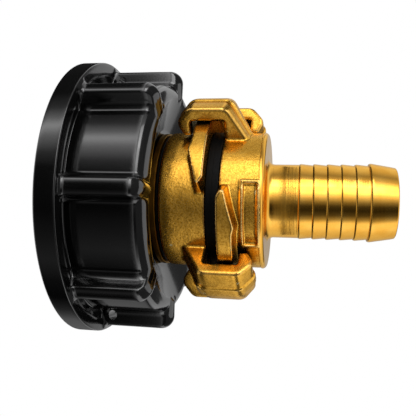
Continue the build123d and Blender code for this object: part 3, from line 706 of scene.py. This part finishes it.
ring_outline = run((RING_BACK, BORE), (RING_BACK, RING_RADIUS - BACK_ROUND), 4)
ring_outline += arc((RING_BACK + BACK_ROUND, RING_RADIUS - BACK_ROUND), BACK_ROUND, 180, 90, 4)
ring_outline += run((RING_BACK + BACK_ROUND, RING_RADIUS), (RING_FRONT - FRONT_ROUND, RING_RADIUS), 4)
ring_outline += arc((RING_FRONT - FRONT_ROUND, RING_RADIUS - FRONT_ROUND), FRONT_ROUND, 90, 0, 4)
ring_outline += run((RING_FRONT, RING_RADIUS - FRONT_ROUND), (RING_FRONT, BORE), 4)
ring_outline += run((RING_FRONT, BORE), (RING_BACK, BORE), 3)
new_piece("lock_ring_turned", spun(ring_outline, "lock_ring_turned", RING_COLUMNS), turned_painted_shade,
          "tank_side", "turned_brass", "lock_ring", sharp=28)
gasket_outline = run((GASKET_BACK, BORE), (GASKET_BACK, GASKET_SIDE), 4)
gasket_outline += arc((24.96, GASKET_SIDE), GASKET_ROUND, 170, 10, 8)
gasket_outline += run((GASKET_FRONT, GASKET_SIDE), (GASKET_FRONT, BORE), 4)
gasket_outline += run((GASKET_FRONT, BORE), (GASKET_BACK, BORE), 3)
new_piece("neck_gasket_ring", spun(gasket_outline, "neck_gasket_ring", RING_COLUMNS), rubber,
          "tank_side", "black_rubber", "neck_gasket", sharp=40)

# %% [markdown]
# ## The two seals
#
# Each head holds a rubber seal, and where the two meet they press each other flat, so no line shows between
# them. A copy of each solid gets a square rim at that face. When the heads are pushed together the hose half's
# rim is squeezed, and a rigid ring would sink into the brass; the copy of the outer seal gets a mesh of its own.

# %% Copy the seals and give the outer one a mesh of its own
SEAL_RADIUS = 19.75
# How near the meeting face, and how near the outside, a point of the rounded rim is
RIM_DEPTH, RIM_WIDTH = 0.27, 0.3


def soft_seal(node, name, meeting_face):
    """A copy of a seal whose rim is square at the face where the seals meet, in millimetres along the axis."""
    mesh = nodes[node].data.copy()
    tidy(mesh, 0.001 * MM)
    for vertex in mesh.vertices:
        radius = math.hypot(vertex.co.y, vertex.co.z) / MM
        if abs(vertex.co.x / MM - meeting_face) < RIM_DEPTH and radius > SEAL_RADIUS - RIM_WIDTH:
            vertex.co.y *= SEAL_RADIUS / radius
            vertex.co.z *= SEAL_RADIUS / radius
    mesh.name = name
    return mesh


new_piece("tank_half_seal_soft", soft_seal("tank_half_seal", "tank_half_seal_soft", 40.03), rubber, "tank_side",
          "black_rubber", "tank_half_seal", sharp=40)
outer_seal = new_piece("hose_half_seal_soft", soft_seal("hose_half_seal", "hose_half_seal_soft", 40.07), rubber,
                       "hose_seal", "black_rubber", "hose_half_seal", sharp=40)
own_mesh(outer_seal)

# %% [markdown]
# ## The light tent
#
# The photograph was taken in a bright white tent: the brass shows a broad white light above the camera, a dark
# band where the camera and its stand block the tent, and a softer white from below. All of it can be drawn in
# the world as a ring of light round the fitting's axis, which gives reflections without noise.

# %% The rings of light
# Degrees round the axis from the camera's side, upwards, and how bright the tent is there. A reflection that
# leans towards the tank or towards the hose sees another stretch of the tent, so there are five rings, and the
# lean along the axis, from -1 to 1, decides between them.
NUT_RING = (
    (-180, 0.02), (-128, 0.35), (-112, 0.10), (-95, 0.01), (-76, 0.03), (-56, 0.12), (-36, 0.06), (-15, 0.01),
    (20, 0.02), (32, 0.22), (46, 1.10), (55, 2.50), (62, 1.00), (72, 0.20), (88, 0.02), (130, 0.02), (180, 0.02),
)
TANK_RING = (
    (-180, 0.15), (-125, 0.05), (-105, 0.12), (-90, 0.35), (-60, 0.55), (-45, 0.50), (-24, 0.20), (-10, 0.28),
    (10, 0.60), (24, 1.40), (36, 2.40), (56, 2.30), (74, 1.20), (90, 0.95), (125, 1.00), (180, 0.30),
)
HOSE_RING = (
    (-180, 0.35), (-125, 0.70), (-100, 0.90), (-60, 0.80), (-45, 0.60), (-24, 0.40), (-10, 0.45), (10, 0.65),
    (24, 1.30), (36, 1.30), (56, 1.00), (74, 0.62), (94, 0.32), (110, 0.30), (130, 0.60), (180, 0.35),
)
TAIL_RING = (
    (-180, 0.45), (-138, 0.85), (-110, 1.05), (-90, 1.40), (-72, 1.45), (-60, 0.45), (-46, 0.10), (-30, 0.03),
    (-16, 0.06), (-4, 0.30), (8, 0.90), (18, 1.80), (28, 3.40), (42, 3.60), (54, 2.20), (64, 0.90), (84, 0.38),
    (106, 0.85), (130, 1.10), (180, 0.45),
)
# Far off to the hose's side the back of the tent is open, so the flange's front face stays black
OPEN_RING = ((-180, 0.10), (-158, 0.10)) + TAIL_RING[1:-1] + ((158, 0.10), (180, 0.10))
# Each ring after the nut's, and the leans between which it takes over from the one before
LATER_RINGS = (("tank head", TANK_RING, -0.265, -0.24), ("hose head", HOSE_RING, -0.20, -0.14),
               ("tail", TAIL_RING, -0.105, -0.06), ("open end", OPEN_RING, 0.365, 0.385))
# Both ends of the tent are evenly lit
END_LIGHT, END_STARTS, END_FULL = 1.1, 0.60, 0.92
print("stops of light:", len(NUT_RING) + sum(len(stops) for name, stops, start, end in LATER_RINGS))


# %% The tent, drawn in the world
def ring_of_light(tree, place, name, stops):
    """One ramp of brightness round the axis."""
    ring = add(tree, "ShaderNodeValToRGB", {"Fac": place}, label=name)
    ramp = ring.color_ramp
    ramp.elements.remove(ramp.elements[1])
    for number, (degrees, bright) in enumerate(stops):
        share = degrees / 360 + 0.5
        stop = ramp.elements.new(share) if number else ramp.elements[0]
        stop.position = share
        stop.color = grey(bright)
    return ring.outputs["Color"]


def tent():
    """The world: rings of light about X, even light from both ends, and white behind the part."""
    world = bpy.data.worlds.new("light_tent")
    scene.world = world
    world.use_nodes = True
    tree = world.node_tree
    tree.nodes.clear()
    way = add(tree, "ShaderNodeTexCoord").outputs["Generated"]
    axes = add(tree, "ShaderNodeSeparateXYZ", {"Vector": way})
    back = add(tree, "ShaderNodeMath", {0: axes.outputs["Y"], 1: -1.0}, operation="MULTIPLY")
    turn = add(tree, "ShaderNodeMath", {0: axes.outputs["Z"], 1: back.outputs[0]}, operation="ARCTAN2")
    place = add(tree, "ShaderNodeMapRange", {"Value": turn.outputs[0], "From Min": -math.pi, "From Max": math.pi})
    rings = ring_of_light(tree, place.outputs["Result"], "nut", NUT_RING)
    for name, stops, start, end in LATER_RINGS:
        along = add(tree, "ShaderNodeMapRange", {"Value": axes.outputs["X"], "From Min": start, "From Max": end},
                    interpolation_type="SMOOTHSTEP")
        ring = ring_of_light(tree, place.outputs["Result"], name, stops)
        rings = add(tree, "ShaderNodeMix", {SHARE: along.outputs["Result"], FIRST: rings, SECOND: ring},
                    data_type="RGBA").outputs[MIXED]
    off_axis = add(tree, "ShaderNodeMath", {0: axes.outputs["X"]}, operation="ABSOLUTE")
    ends = add(tree, "ShaderNodeMapRange", {"Value": off_axis.outputs[0], "From Min": END_STARTS,
                                            "From Max": END_FULL}, interpolation_type="SMOOTHSTEP")
    closed = add(tree, "ShaderNodeMix", {SHARE: ends.outputs["Result"], FIRST: rings, SECOND: grey(END_LIGHT)},
                 data_type="RGBA")
    seen = add(tree, "ShaderNodeLightPath").outputs["Is Camera Ray"]
    shown = add(tree, "ShaderNodeMix", {SHARE: seen, FIRST: closed.outputs[MIXED], SECOND: grey(1.0)},
                data_type="RGBA")
    glow = add(tree, "ShaderNodeBackground", {"Color": shown.outputs[MIXED], "Strength": 1.0})
    add(tree, "ShaderNodeOutputWorld", {"Surface": glow.outputs["Background"]})
    return world


scene.view_settings.view_transform = "Standard"
print("the world,", tent().name + ", has", len(scene.world.node_tree.nodes), "nodes")

# %% [markdown]
# ## A lamp and a grey card
#
# One weak softbox above the camera's side adds a small highlight of its own. Glossy black mirrors every light,
# yet in the photograph the nut stays dark beside the bright coupling. A card that is seen only in reflections
# keeps the tent's light off it, as a photographer's card would.

# %% The softbox and the card
def softbox(name, place, target, size, watts):
    """A square area light that shines from a place towards a target."""
    light = bpy.data.lights.new(name, "AREA")
    light.shape = "SQUARE"
    light.size = size
    light.energy = watts
    lamp = bpy.data.objects.new(name, light)
    scene.collection.objects.link(lamp)
    aim = Vector(target) - Vector(place)
    lamp.matrix_world = Matrix.Translation(place) @ aim.to_track_quat("-Z", "Y").to_matrix().to_4x4()
    return lamp


# Metres and watts
key = softbox("key_softbox", (0.10, -0.30, 0.42), (0.03, 0, 0), 0.22, 0.3)

# The card's place along the axis and its two radii in millimetres, its reach each way in degrees, and its glow
CARD_X, CARD_INNER, CARD_OUTER = 56, 44, 160
CARD_REACH, CARD_STEP = 126, 7
CARD_GLOW = 0.12


def grey_card():
    """Most of a ring of grey card about the coupling, open at the back and seen only in reflections."""
    points, faces = [], []
    for number, degrees in enumerate(range(-CARD_REACH, CARD_REACH + 1, CARD_STEP)):
        points += [about_axis(CARD_X, CARD_INNER, degrees), about_axis(CARD_X, CARD_OUTER, degrees)]
        if number:
            faces.append((2 * number - 2, 2 * number - 1, 2 * number + 1, 2 * number))
    mesh = bpy.data.meshes.new("grey_card")
    mesh.from_pydata(points, [], faces)
    material = bpy.data.materials.new("grey_card")
    material.use_nodes = True
    tree = material.node_tree
    tree.nodes.clear()
    glow = add(tree, "ShaderNodeEmission", {"Color": grey(CARD_GLOW), "Strength": 1.0})
    add(tree, "ShaderNodeOutputMaterial", {"Surface": glow.outputs["Emission"]})
    mesh.materials.append(material)
    card = bpy.data.objects.new("grey_card", mesh)
    scene.collection.objects.link(card)
    card.visible_camera = card.visible_diffuse = card.visible_shadow = False
    return card


print("made", key.name, "and", grey_card().name)

# %% [markdown]
# ## The floor
#
# The object floats in pure white in the photograph. A floor close by would catch its shadow and show in the
# gloss, so this one lies far below, is white to the camera and is left out of every reflection.

# %% The floor
def floor():
    """A plain pale floor, far enough below the part that no shadow shows in the picture."""
    mesh = bpy.data.meshes.new("floor")
    side, drop = 4.0, -0.30
    mesh.from_pydata([(-side, -side, drop), (side, -side, drop), (side, side, drop), (-side, side, drop)], [],
                     [(0, 1, 2, 3)])
    plate = bpy.data.objects.new("floor", mesh)
    scene.collection.objects.link(plate)
    material, tree, shader = finish_of("pale_paper", Roughness=0.9, Base_Color=linear("#F4F4F2"))
    white = add(tree, "ShaderNodeEmission", {"Color": grey(1.0), "Strength": 1.0})
    seen = add(tree, "ShaderNodeLightPath").outputs["Is Camera Ray"]
    both = add(tree, "ShaderNodeMixShader", {0: seen, 1: shader.outputs["BSDF"], 2: white.outputs["Emission"]})
    output = next(node for node in tree.nodes if node.type == "OUTPUT_MATERIAL")
    tree.links.new(both.outputs["Shader"], output.inputs["Surface"])
    mesh.materials.append(material)
    plate.visible_glossy = plate.visible_diffuse = False
    return plate


print("made", floor().name)

# %% [markdown]
# ## The camera
#
# The camera's place, angle and focal length were worked out from the photograph's circles and straight edges.
# It stands close, 167 mm from the axis, so the nut's flange shows as an open ellipse. Its depth of field is off.

# %% The camera, where the photograph was taken from
CAMERA_PLACE = Vector((65.5832, -166.4221, -11.8055)) * MM
# In radians
YAW, PITCH, ROLL = 0.1769, 0.0549, 0.0342
FOCAL_PIXELS, PICTURE_PIXELS = 570, 416


def camera():
    """A camera with the photograph's place, angle and focal length, in full focus."""
    up = Vector((0, 0, 1))
    turn = Matrix.Rotation(YAW, 3, "Z")
    ahead, right = turn @ Vector((0, 1, 0)), turn @ Vector((1, 0, 0))
    ahead, up = (math.cos(PITCH) * ahead + math.sin(PITCH) * up, math.cos(PITCH) * up - math.sin(PITCH) * ahead)
    right, up = (math.cos(ROLL) * right + math.sin(ROLL) * up, math.cos(ROLL) * up - math.sin(ROLL) * right)
    lens = bpy.data.cameras.new("camera")
    lens.sensor_width = 36.0
    lens.lens = lens.sensor_width * FOCAL_PIXELS / PICTURE_PIXELS
    lens.clip_start = 0.01
    lens.dof.use_dof = False
    eye = bpy.data.objects.new("camera", lens)
    eye.matrix_world = Matrix.Translation(CAMERA_PLACE) @ Matrix((right, up, -ahead)).transposed().to_4x4()
    scene.collection.objects.link(eye)
    scene.camera = eye
    return eye


print("the camera's lens is %.1f mm" % camera().data.lens)
